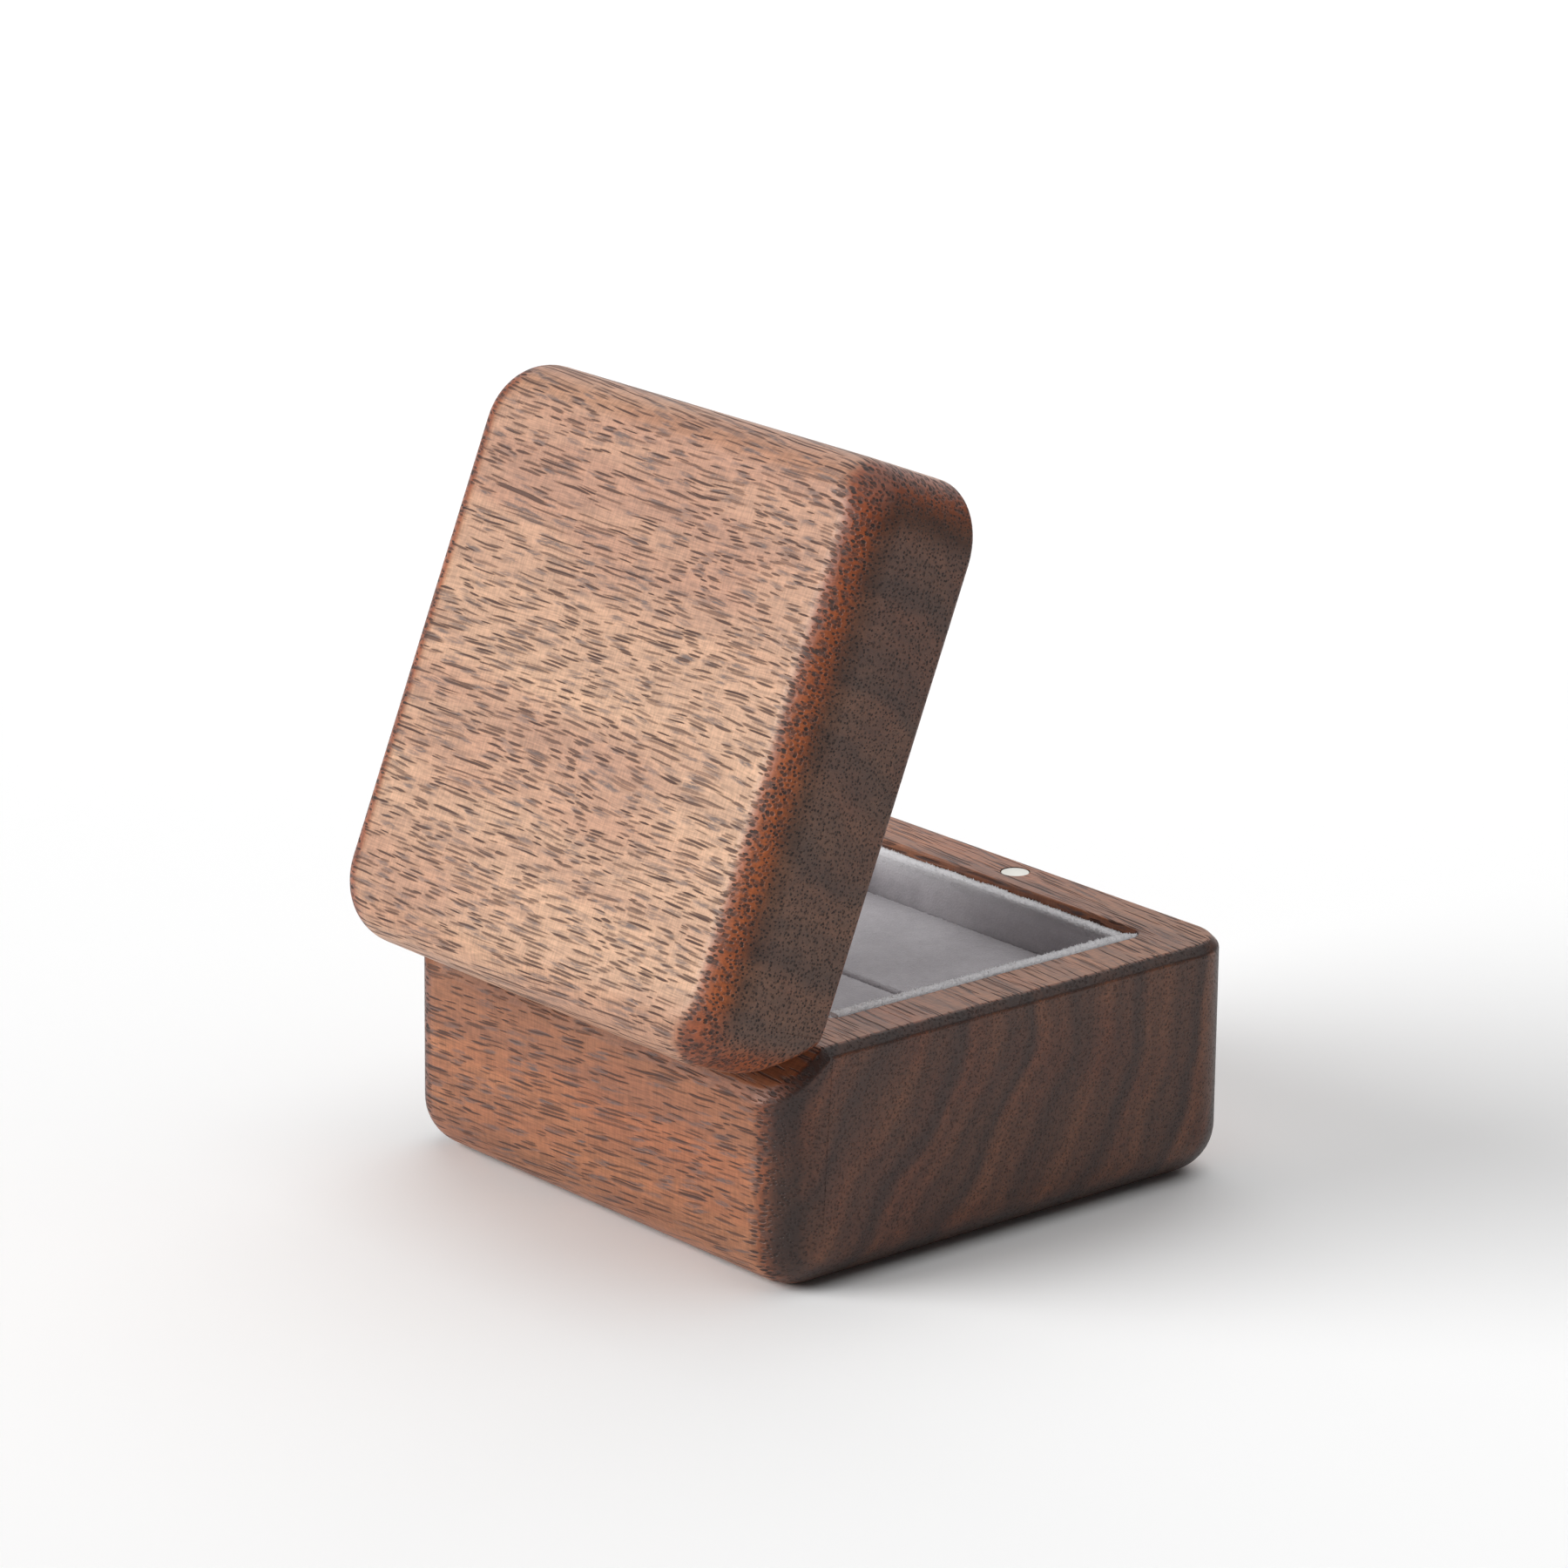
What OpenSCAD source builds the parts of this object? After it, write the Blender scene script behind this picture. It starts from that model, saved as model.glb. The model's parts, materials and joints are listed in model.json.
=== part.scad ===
// Square wooden ring box: a base and a lid milled from solid walnut, joined by two
// concealed barrel hinges, lined with velvet strips and filled with a split ring pad.
// The origin is the centre of the base's underside, +Z is up and the front faces -Y.

/* [Box] */
// Side of the square plan
box_w = 60; // [54:1:66]
// Height of the wooden base
base_h = 25; // [22:0.5:28]
// Height of the wooden lid
lid_h = 15; // [14:0.5:18]
// Radius of the base's upright corners
base_corner_r = 5.5; // [5.3:0.1:6.5]
// Radius of the lid's upright corners
lid_corner_r = 7; // [5:0.25:7.5]
// Radius of the base's bottom edges
base_edge_r = 5.25; // [3:0.25:5.25]
// Radius of the lid's outer edges
lid_edge_r = 4.5; // [3:0.25:5]

/* [Walls] */
// Wall thickness at the front and the sides
wall_t = 6.75; // [6:0.25:7.5]
// Wall thickness at the rear, where the hinges are
rear_wall_t = 10.75; // [10:0.25:12]
// Thickness of the base's floor
base_floor_t = 4; // [3:0.5:5]
// Thickness of the lid's outer plate
lid_plate_t = 4; // [3.5:0.5:5]
// Radius of the upright corners inside both hollows
hollow_corner_r = 2.25; // [2:0.25:3]

/* [Rim] */
// Width of the chamfer round each rim
rim_chamfer_w = 0.85; // [0.3:0.05:1.2]
// Height of the chamfer round each rim
rim_chamfer_h = 1; // [0.3:0.05:1.2]
// Gap between the rims when the box is closed
rim_gap = 0.2; // [0.1:0.05:0.3]
// Reach of the rear bevel into the rim
bevel_y = 5.2; // [4.9:0.1:5.4]
// Height of the rear bevel down the rear face
bevel_z = 4.8; // [4.7:0.1:5]

/* [Hinge] */
// Angle by which the lid is open
open_angle = 68; // [0:0.5:85]
// Distance of each hinge from the middle of the box
hinge_x = 17; // [12:0.5:18]
// Radius of the hinge barrels
barrel_r = 2.5; // [2.5:0.1:2.6]
// Depth of the base barrel below the pivot
base_barrel_l = 12; // [8:0.5:14]
// Depth of the lid barrel above the pivot
lid_barrel_l = 9; // [7:0.5:9]
// Radius of the knuckles round the pivot
knuckle_r = 1.6; // [1.4:0.05:1.6]
// Radius of the hinge pin
pin_r = 0.5; // [0.4:0.05:0.6]

/* [Magnets] */
// Radius of the magnet discs
magnet_r = 1.5; // [1:0.25:1.75]
// Thickness of the magnet discs
magnet_t = 2; // [1:0.5:3]
// Distance of the magnets' centre from the front face
magnet_inset = 3.5; // [3.4:0.1:3.8]

/* [Lining] */
// Thickness of the velvet strips on the walls
lining_t = 1.6; // [1:0.1:2]
// Drop of the strips' edge below the rim
lining_drop = 1; // [0.5:0.1:1.5]
// Drop of the ring pad's surface below the rim
pad_drop = 5.2; // [4.8:0.1:8]
// Width of the slit that holds the ring
slit_w = 0.4; // [0.2:0.1:0.6]
// Thickness of the card under the ring pad
card_t = 1; // [0.5:0.1:1.5]
// Thickness of the pad inside the lid
lid_pad_t = 2.5; // [1.5:0.25:3]

/* [Hidden] */

$fn = 96;
// Clearance round everything that is glued into the wood
glue_gap = 0.05;
// Clearance of a moving knuckle, and of the pin in the tongue
knuckle_gap = 0.15;
pin_gap = 0.05;
// Each knuckle's share of the barrel: a tongue between two ears
tongue_w = 1.6;
ear_inner_x = 0.9;
ear_outer_x = 1.85;
// How far a cut runs past the surface that it opens
past = 1;

hollow_w = box_w - 2 * wall_t;
hollow_d = box_w - wall_t - rear_wall_t;
hollow_y = (wall_t - rear_wall_t) / 2;
front_y = hollow_y - hollow_d / 2;
rear_y = hollow_y + hollow_d / 2;
well_w = hollow_w - 2 * (lining_t + 2 * glue_gap);
well_d = hollow_d - 2 * (lining_t + 2 * glue_gap);
magnet_y = magnet_inset - box_w / 2;
pivot_y = box_w / 2 - bevel_y + rim_gap;
pivot_z = base_h + rim_gap / 2;
walnut = [0.45, 0.28, 0.19];
velvet = [0.55, 0.53, 0.56];
brass = [0.72, 0.56, 0.28];
steel = [0.7, 0.7, 0.72];

// Half of a block's cross-section: rounded at the bottom, chamfered at the rim
module half_section(half_w, height, edge_r) {
    intersection() {
        union() {
            translate([half_w - edge_r, edge_r]) circle(edge_r);
            square([half_w - edge_r, height]);
            translate([0, edge_r]) square([half_w, height - edge_r]);
        }
        polygon([[0, 0], [half_w, 0], [half_w, height - rim_chamfer_h],
            [half_w - rim_chamfer_w, height], [0, height]]);
    }
}

// Block with its rim up, rounded along its bottom edges and its upright corners
module block(height, corner_r, edge_r) {
    inset = box_w / 2 - corner_r;
    for (turn = [0, 90])
        rotate(turn)
            translate([-inset, 0, 0])
                rotate([90, 0, 90])
                    linear_extrude(2 * inset)
                        for (side = [0, 1])
                            mirror([side, 0])
                                half_section(box_w / 2, height, edge_r);
    for (side_x = [-1, 1], side_y = [-1, 1])
        translate([side_x * inset, side_y * inset, 0])
            rotate_extrude()
                half_section(corner_r, height, edge_r);
}

// Plan of a hollow, made smaller by a gap all round
module hollow_plan(gap) {
    width = hollow_w - 2 * gap;
    depth = hollow_d - 2 * gap;
    corner_r = hollow_corner_r - gap;
    translate([0, hollow_y]) {
        square([width - 2 * corner_r, depth], center = true);
        square([width, depth - 2 * corner_r], center = true);
        for (side_x = [-1, 1], side_y = [-1, 1])
            translate([side_x * (width / 2 - corner_r), side_y * (depth / 2 - corner_r)])
                circle(corner_r);
    }
}

// Wedge along the rear edge of a rim at z = 0, set back from the bevel by a gap
module rear_wedge(gap) {
    run = bevel_y / bevel_z;
    low_z = -bevel_z - past;
    translate([-box_w / 2 - past, 0, -gap])
        rotate([90, 0, 90])
            linear_extrude(box_w + 2 * past)
                polygon([[box_w / 2 - bevel_y - run * past, past],
                    [box_w / 2 + run * past, low_z],
                    [box_w / 2 + run * past, past]]);
}

// One wooden half with its rim up: hollow, rear bevel, hinge bores, magnet pocket
module wooden_half(height, corner_r, edge_r, floor_t, bore_depth) {
    difference() {
        block(height, corner_r, edge_r);
        translate([0, 0, floor_t])
            linear_extrude(height)
                hollow_plan(0);
        translate([0, 0, height])
            rear_wedge(0);
        for (side = [-1, 1])
            translate([side * hinge_x, pivot_y, height - bore_depth])
                cylinder(r = barrel_r + glue_gap, h = bore_depth + past);
        translate([0, magnet_y, height - magnet_t - 2 * glue_gap])
            cylinder(r = magnet_r + glue_gap, h = magnet_t + past);
    }
}

// Magnet disc set just below a rim at the given height
module magnet(height) {
    translate([0, magnet_y, height - magnet_t - glue_gap])
        cylinder(r = magnet_r, h = magnet_t);
}

// Strip on the front wall (side = -1) or the rear wall (side = 1)
module cross_strip(side, low_z, high_z) {
    wall_y = side < 0 ? front_y : rear_y;
    translate([0, 0, low_z])
        linear_extrude(high_z - low_z)
            intersection() {
                hollow_plan(glue_gap);
                translate([0, wall_y - side * (lining_t / 2 + glue_gap)])
                    square([hollow_w, lining_t], center = true);
            }
}

// Strip on the left wall (side = -1) or the right wall (side = 1), between the others
module side_strip(side, low_z, high_z) {
    translate([side * (hollow_w - lining_t - 2 * glue_gap) / 2, hollow_y, (low_z + high_z) / 2])
        cube([lining_t, well_d, high_z - low_z], center = true);
}

// The barrel from its inner end to its knuckle, cut off along the rear bevel; the
// knuckle is round the X axis at the origin and the barrel goes down from it
module barrel(length) {
    top_z = -knuckle_r - knuckle_gap;
    difference() {
        translate([0, 0, -length])
            cylinder(r = barrel_r, h = length + top_z);
        translate([0, -pivot_y, -rim_gap / 2])
            rear_wedge(knuckle_gap);
    }
}

// One plate of a knuckle, from x0 to x1, with a round head and a stem into the barrel
module knuckle_plate(x0, x1, hole_r) {
    stem_l = knuckle_r + 2 * knuckle_gap;
    difference() {
        union() {
            translate([x0, 0, 0])
                rotate([0, 90, 0])
                    cylinder(r = knuckle_r, h = x1 - x0);
            translate([x0, -knuckle_r, -stem_l])
                cube([x1 - x0, 2 * knuckle_r, stem_l]);
        }
        translate([x0 - past, 0, 0])
            rotate([0, 90, 0])
                cylinder(r = hole_r, h = x1 - x0 + 2 * past);
    }
}

// Places what follows at the pivot of the left (-1) or right (1) hinge
module at_pivot(side) {
    translate([side * hinge_x, pivot_y, pivot_z])
        children();
}

// Turns what follows with the open lid, about the pivot
module opened() {
    translate([0, pivot_y, pivot_z])
        rotate([-open_angle, 0, 0])
            translate([0, -pivot_y, -pivot_z])
                children();
}

// Places a lid piece, made with its rim up at z = lid_h, on the lid
module in_lid() {
    opened()
        translate([0, 0, base_h + rim_gap + lid_h])
            mirror([0, 0, 1])
                children();
}

module base_body() {
    color(walnut)
        wooden_half(base_h, base_corner_r, base_edge_r, base_floor_t,
            base_barrel_l + 2 * glue_gap);
}

module lid_body() {
    color(walnut)
        in_lid()
            wooden_half(lid_h, lid_corner_r, lid_edge_r, lid_plate_t,
                lid_barrel_l + 2 * glue_gap);
}

module base_magnet() {
    color(steel)
        magnet(base_h);
}

module lid_magnet() {
    color(steel)
        in_lid()
            magnet(lid_h);
}

module pad_card() {
    color(velvet)
        translate([0, 0, base_floor_t])
            linear_extrude(card_t)
                hollow_plan(glue_gap);
}

// The front (side = -1) or rear (side = 1) half of the ring pad
module ring_pad(side) {
    half_d = (well_d - slit_w) / 2 - glue_gap;
    low_z = base_floor_t + card_t;
    high_z = base_h - pad_drop;
    color(velvet)
        translate([0, hollow_y + side * (slit_w + half_d) / 2, (low_z + high_z) / 2])
            cube([well_w - 2 * glue_gap, half_d, high_z - low_z], center = true);
}

module lid_pad() {
    color(velvet)
        in_lid()
            translate([0, hollow_y, lid_plate_t + lid_pad_t / 2])
                cube([well_w - 2 * glue_gap, well_d - 2 * glue_gap, lid_pad_t], center = true);
}

module base_cross_lining(side) {
    color(velvet)
        cross_strip(side, base_floor_t + card_t, base_h - lining_drop);
}

module base_side_lining(side) {
    color(velvet)
        side_strip(side, base_floor_t + card_t, base_h - lining_drop);
}

module lid_cross_lining(side) {
    color(velvet)
        in_lid()
            cross_strip(side, lid_plate_t, lid_h - lining_drop);
}

module lid_side_lining(side) {
    color(velvet)
        in_lid()
            side_strip(side, lid_plate_t, lid_h - lining_drop);
}

module hinge_base(side) {
    color(brass)
        at_pivot(side) {
            barrel(base_barrel_l);
            for (ear = [0, 1])
                mirror([ear, 0, 0])
                    knuckle_plate(ear_inner_x, ear_outer_x, pin_r + pin_gap / 5);
        }
}

module hinge_lid(side) {
    color(brass)
        opened()
            at_pivot(side)
                mirror([0, 0, 1]) {
                    barrel(lid_barrel_l);
                    knuckle_plate(-tongue_w / 2, tongue_w / 2, pin_r + pin_gap);
                }
}

module hinge_pin(side) {
    color(steel)
        at_pivot(side)
            rotate([0, 90, 0])
                cylinder(r = pin_r, h = 2 * ear_outer_x, center = true);
}

base_body();
base_magnet();
pad_card();
ring_pad(-1);  // pad_front
ring_pad(1);  // pad_rear
base_cross_lining(-1);  // base_lining_front
base_cross_lining(1);  // base_lining_rear
base_side_lining(-1);  // base_lining_left
base_side_lining(1);  // base_lining_right
hinge_base(-1);  // hinge_left_base
hinge_base(1);  // hinge_right_base
hinge_pin(-1);  // hinge_left_pin
hinge_pin(1);  // hinge_right_pin
lid_body();
lid_magnet();
lid_pad();
lid_cross_lining(-1);  // lid_lining_front
lid_cross_lining(1);  // lid_lining_rear
lid_side_lining(-1);  // lid_lining_left
lid_side_lining(1);  // lid_lining_right
hinge_lid(-1);  // hinge_left_lid
hinge_lid(1);  // hinge_right_lid
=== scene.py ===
"""Walnut ring box with velvet lining: the looks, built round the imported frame."""

import json
import logging
import math
import random
from dataclasses import dataclass, field
from enum import Enum

import bmesh
import bpy
from mathutils import Matrix, Vector, noise


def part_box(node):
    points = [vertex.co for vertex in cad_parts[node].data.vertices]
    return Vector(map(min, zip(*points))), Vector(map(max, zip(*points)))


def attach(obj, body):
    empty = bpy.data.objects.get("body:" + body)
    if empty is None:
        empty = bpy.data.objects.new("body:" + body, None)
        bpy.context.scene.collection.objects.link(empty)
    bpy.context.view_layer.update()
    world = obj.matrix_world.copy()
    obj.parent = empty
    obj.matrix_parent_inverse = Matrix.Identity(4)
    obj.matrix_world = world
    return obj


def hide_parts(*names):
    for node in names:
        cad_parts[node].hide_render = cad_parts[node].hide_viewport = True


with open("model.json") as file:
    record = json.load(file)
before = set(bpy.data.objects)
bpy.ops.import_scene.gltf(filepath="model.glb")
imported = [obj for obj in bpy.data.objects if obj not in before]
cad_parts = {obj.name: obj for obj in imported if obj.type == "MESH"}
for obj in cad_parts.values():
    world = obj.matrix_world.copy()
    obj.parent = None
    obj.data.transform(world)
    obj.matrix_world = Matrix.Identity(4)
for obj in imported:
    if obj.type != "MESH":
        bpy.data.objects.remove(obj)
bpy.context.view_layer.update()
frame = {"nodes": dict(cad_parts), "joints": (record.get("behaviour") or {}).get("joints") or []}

LOG = logging.getLogger("ring_box")
MM = 0.001
TINY = 1e-4
TIP_HIGHLIGHT_LAYER = "pile_tip"
ROUND_SEGMENTS = 64
SHARP_ANGLE = 30.0
NEVER_SHARP = 180.0

Triple = tuple[float, float, float]
Colour = Triple
Span = tuple[float, float]
Mesh = bmesh.types.BMesh
Vert = bmesh.types.BMVert
Edge = bmesh.types.BMEdge
Face = bmesh.types.BMFace
Piece = bpy.types.Object
Material = bpy.types.Material
Socket = bpy.types.NodeSocket


class Body(Enum):
    """The two rigid bodies of the box."""

    BASE = "base"
    LID = "lid"


class Wall(Enum):
    """The four walls of a hollow, named as seen from the front."""

    FRONT = "front"
    REAR = "rear"
    LEFT = "left"
    RIGHT = "right"

    @property
    def runs_across(self) -> bool:
        """Whether the wall runs from left to right."""
        return self in (Wall.FRONT, Wall.REAR)

    @property
    def side(self) -> int:
        """-1 for the front and left walls, 1 for the rear and right ones."""
        return -1 if self in (Wall.FRONT, Wall.LEFT) else 1


# --------------------------------------------------------------------------- sizes


@dataclass(frozen=True)
class BoxSizes:
    """Sizes of the box in millimetres, with the rim of each half facing up.

    The overall sizes and the hinge come from the frame.
    """

    side: float
    base_h: float
    pivot: Vector
    open_angle: float
    lid_h: float = 15.0
    rim_gap: float = 0.2
    wall_t: float = 6.75
    rear_wall_t: float = 10.75
    hollow_corner_r: float = 2.25
    rim_chamfer: float = 0.92
    bevel_y: float = 5.2
    bevel_z: float = 4.8
    hinge_x: float = 17.0
    bore_r: float = 2.55
    magnet_r: float = 1.5
    magnet_t: float = 2.0
    magnet_inset: float = 3.5
    lining_t: float = 1.6
    lining_drop: float = 1.0
    glue_gap: float = 0.05
    lid_plate_t: float = 4.0
    lid_pad_t: float = 2.5

    @classmethod
    def from_frame(cls) -> "BoxSizes":
        """Reads the base's size and the hinge from the frame.

        Returns:
            The sizes of the box.
        """
        low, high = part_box("base_body")
        hinge = frame["joints"][0]
        return cls(
            side=(high[0] - low[0]) / MM,
            base_h=high[2] / MM,
            pivot=Vector(hinge["pos_m"]) / MM,
            open_angle=math.radians(-hinge["range_deg"][0]),
        )

    @property
    def hollow(self) -> tuple[float, float, float]:
        """Width, depth and centre along Y of both hollows."""
        depth = self.side - self.wall_t - self.rear_wall_t
        return self.side - 2 * self.wall_t, depth, (self.wall_t - self.rear_wall_t) / 2

    @property
    def well(self) -> tuple[float, float]:
        """Width and depth left between the wall linings.

        Returns:
            The width and the depth.
        """
        width, depth, _ = self.hollow
        lost = 2 * (self.lining_t + 2 * self.glue_gap)
        return width - lost, depth - lost

    @property
    def lid_turn(self) -> Matrix:
        """Turn about the hinge that opens the closed lid, in millimetres."""
        to_pivot = Matrix.Translation(self.pivot)
        return to_pivot @ Matrix.Rotation(-self.open_angle, 4, "X") @ to_pivot.inverted()

    def place(self, body: Body) -> Matrix:
        """Where a half that was made with its rim up goes in the open box.

        Args:
            body: The half's body.

        Returns:
            The placement, in millimetres.
        """
        if body is Body.BASE:
            return Matrix.Identity(4)
        top = Matrix.Translation((0, 0, self.base_h + self.rim_gap + self.lid_h))
        return self.lid_turn @ top @ Matrix.Diagonal((1, 1, -1, 1))


# ------------------------------------------------------------------- modelling tools


def box_at(bm: Mesh, low: Vector, high: Vector) -> list[Vert]:
    """Adds a box between two corners.

    Args:
        bm: The mesh to add to.
        low: Lowest corner.
        high: Highest corner.

    Returns:
        The box's vertices.
    """
    scale = Matrix.Diagonal((*(high - low), 1.0))
    middle = Matrix.Translation((low + high) / 2)
    return bmesh.ops.create_cube(bm, size=1.0, matrix=middle @ scale)["verts"]


def edges_of(verts: list[Vert]) -> list[Edge]:
    """Finds the edges with both ends in a set of vertices.

    Args:
        verts: The vertices.

    Returns:
        The edges, in the mesh's order.
    """
    chosen = set(verts)
    found = {e for v in verts for e in v.link_edges if set(e.verts) <= chosen}
    return sorted(found, key=lambda e: e.index)


def round_over(bm: Mesh, edges: list[Edge], radius: float, segments: int) -> None:
    """Rounds edges to a circular profile.

    Args:
        bm: The mesh.
        edges: The edges to round.
        radius: Offset on each side, which is the radius on a square edge.
        segments: Faces across the rounding.
    """
    bmesh.ops.bevel(
        bm,
        geom=edges,
        offset=radius,
        offset_type="OFFSET",
        segments=segments,
        profile=0.5,
        affect="EDGES",
        clamp_overlap=False,
        material=-1,
    )


def at_height(edge: Edge, height: float) -> bool:
    """Whether both ends of an edge are at a height."""
    return all(abs(v.co.z - height) < TINY for v in edge.verts)


def is_upright(edge: Edge) -> bool:
    """Whether an edge runs along Z."""
    run = edge.verts[1].co - edge.verts[0].co
    return abs(run.z) > 0.99 * run.length


def open_top(bm: Mesh, height: float, centre: Vector) -> list[Edge]:
    """Removes the level face over a point.

    Args:
        bm: The mesh.
        height: Height of the face.
        centre: The middle of the face.

    Returns:
        The edges that were round the face.
    """
    bm.faces.ensure_lookup_table()
    level = [f for f in bm.faces if abs(f.normal.z) > 0.99]
    tops = [f for f in level if at_height(f.edges[0], height)]
    top = min(tops, key=lambda f: (f.calc_center_bounds() - centre).length)
    rim = list(top.edges)
    bmesh.ops.delete(bm, geom=[top], context="FACES_ONLY")
    return rim


def finish_piece(bm: Mesh, name: str, place: Matrix, sharp_angle: float = SHARP_ANGLE) -> Piece:
    """Puts a mesh made in millimetres in its place and makes it an object.

    Args:
        bm: The mesh, which is freed.
        name: Name of the piece.
        place: Placement in millimetres, which may be a mirror.
        sharp_angle: Edges sharper than this, in degrees, stay crisp.

    Returns:
        The piece, at the origin and unturned.
    """
    bmesh.ops.transform(bm, matrix=Matrix.Scale(MM, 4) @ place, verts=bm.verts)
    if place.determinant() < 0:
        bmesh.ops.reverse_faces(bm, faces=bm.faces)
    mesh = bpy.data.meshes.new(name)
    bm.to_mesh(mesh)
    bm.free()
    mesh.shade_smooth()
    mesh.set_sharp_from_angle(angle=math.radians(sharp_angle))
    piece = bpy.data.objects.new(name, mesh)
    bpy.context.scene.collection.objects.link(piece)
    return piece


def apply_modifiers(piece: Piece) -> None:
    """Replaces a piece's mesh by what its modifiers make of it.

    Args:
        piece: The piece.
    """
    graph = bpy.context.evaluated_depsgraph_get()
    made = bpy.data.meshes.new_from_object(piece.evaluated_get(graph), depsgraph=graph)
    piece.modifiers.clear()
    old, piece.data = piece.data, made
    bpy.data.meshes.remove(old)
    made.name = piece.name


def even_normals(piece: Piece) -> None:
    """Keeps flat faces flat in shading beside their rounded edges.

    Args:
        piece: The piece.
    """
    weighted = piece.modifiers.new("even_normals", "WEIGHTED_NORMAL")
    weighted.keep_sharp = True
    weighted.mode = "FACE_AREA"
    apply_modifiers(piece)


# ------------------------------------------------------------------------- finishes


class NodeBench:
    """Adds shader nodes to a material and joins them."""

    def __init__(self, name: str) -> None:
        """Starts a material with a Principled shader.

        Args:
            name: Name of the material.
        """
        self.material = bpy.data.materials.new(name)
        self.material.use_nodes = True
        self.tree = self.material.node_tree
        self.shader = self.tree.nodes["Principled BSDF"]

    def node(self, kind: str, **settings: object) -> bpy.types.Node:
        """Adds a node and sets its properties.

        Args:
            kind: The node's type name.
            **settings: Properties of the node.

        Returns:
            The node.
        """
        made = self.tree.nodes.new(kind)
        for key, value in settings.items():
            setattr(made, key, value)
        return made

    def feed(self, socket: Socket, value: object) -> None:
        """Links a socket to an output, or sets its value.

        Args:
            socket: The input.
            value: An output socket, a number or a colour.
        """
        if isinstance(value, Socket):
            self.tree.links.new(value, socket)
        else:
            socket.default_value = value

    def math(self, operation: str, *values: object, clamp: bool = False) -> Socket:
        """Adds a Math node.

        Args:
            operation: The operation's name.
            *values: The inputs.
            clamp: Whether the result is kept between 0 and 1.

        Returns:
            The result.
        """
        made = self.node("ShaderNodeMath", operation=operation, use_clamp=clamp)
        for socket, value in zip(made.inputs, values):
            self.feed(socket, value)
        return made.outputs[0]

    def ramp_between(self, value: object, start: float, end: float) -> Socket:
        """Turns a range of a value smoothly into 0 to 1.

        Args:
            value: The value.
            start: Where the result is 0.
            end: Where the result is 1.

        Returns:
            The result.
        """
        made = self.node("ShaderNodeMapRange", interpolation_type="SMOOTHSTEP")
        for name, source in (("Value", value), ("From Min", start), ("From Max", end)):
            self.feed(made.inputs[name], source)
        return made.outputs[0]

    def mix(self, share: object, first: object, second: object, blend: str = "MIX") -> Socket:
        """Mixes two colours.

        Args:
            share: How much of the second colour, 0 to 1.
            first: First colour.
            second: Second colour.
            blend: How they mix.

        Returns:
            The mixed colour.
        """
        made = self.node("ShaderNodeMix", data_type="RGBA", blend_type=blend)
        for index, source in ((0, share), (6, first), (7, second)):
            self.feed(made.inputs[index], self._with_alpha(source))
        return made.outputs[2]

    @staticmethod
    def _with_alpha(value: object) -> object:
        """Gives a bare colour an alpha, and leaves anything else alone."""
        return (*value, 1.0) if isinstance(value, tuple) and len(value) == 3 else value

    def stretch(self, vector: object, scale: Triple) -> Socket:
        """Scales a place before it goes into a texture.

        Args:
            vector: The place.
            scale: Scale along each axis.

        Returns:
            The scaled place.
        """
        made = self.node("ShaderNodeVectorMath", operation="MULTIPLY")
        self.feed(made.inputs[0], vector)
        self.feed(made.inputs[1], scale)
        return made.outputs[0]

    def noise(
        self, vector: object, scale: Triple, detail: float = 2.0, colour: bool = False
    ) -> Socket:
        """Adds a noise texture.

        Args:
            vector: The place.
            scale: Cells per unit along each axis.
            detail: Octaves.
            colour: Whether to give three values instead of one.

        Returns:
            The noise.
        """
        made = self.node("ShaderNodeTexNoise", noise_dimensions="3D")
        self.feed(made.inputs["Vector"], self.stretch(vector, scale))
        made.inputs["Scale"].default_value = 1.0
        made.inputs["Detail"].default_value = detail
        return made.outputs["Color" if colour else "Fac"]

    def bump(self, height: object, depth: float, strength: float = 1.0) -> None:
        """Gives the shader a bump.

        Args:
            height: The relief, 0 to 1.
            depth: Depth of the relief in metres.
            strength: Share of the relief that shows.
        """
        made = self.node("ShaderNodeBump")
        made.inputs["Strength"].default_value = strength
        made.inputs["Distance"].default_value = depth
        self.feed(made.inputs["Height"], height)
        self.feed(self.shader.inputs["Normal"], made.outputs[0])

    def place_in_mm(self, turned: Matrix) -> Socket:
        """The place on the piece in millimetres.

        Args:
            turned: The turn, in millimetres, that put the piece where it is. The pattern is
                turned back by it.

        Returns:
            The place.
        """
        back = turned.inverted()
        coordinates = self.node("ShaderNodeTexCoord")
        made = self.node("ShaderNodeMapping", vector_type="POINT")
        made.inputs["Location"].default_value = back.to_translation()
        made.inputs["Rotation"].default_value = back.to_euler("XYZ")
        made.inputs["Scale"].default_value = (1 / MM,) * 3
        self.feed(made.inputs["Vector"], coordinates.outputs["Object"])
        return made.outputs[0]

    def set(self, **values: object) -> None:
        """Sets or links inputs of the shader.

        Args:
            **values: A value or output for each input, with underscores for spaces in its name.
        """
        for key, value in values.items():
            self.feed(self.shader.inputs[key.replace("_", " ")], self._with_alpha(value))


@dataclass(frozen=True)
class VesselLayer:
    """One size of open vessel, a slanted tube that the surface cuts into dashes or dots."""

    per_mm: float
    radius: float
    share: float
    strength: float
    softness: float
    steepness: float
    colour: Colour


WIDE_VESSELS = VesselLayer(
    per_mm=1.35,
    radius=0.21,
    share=0.60,
    strength=0.85,
    softness=0.50,
    steepness=2.2,
    colour=(0.105, 0.082, 0.082),
)
NARROW_VESSELS = VesselLayer(
    per_mm=2.6,
    radius=0.100,
    share=0.86,
    strength=1.00,
    softness=0.30,
    steepness=1.0,
    colour=(0.070, 0.028, 0.019),
)


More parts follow.
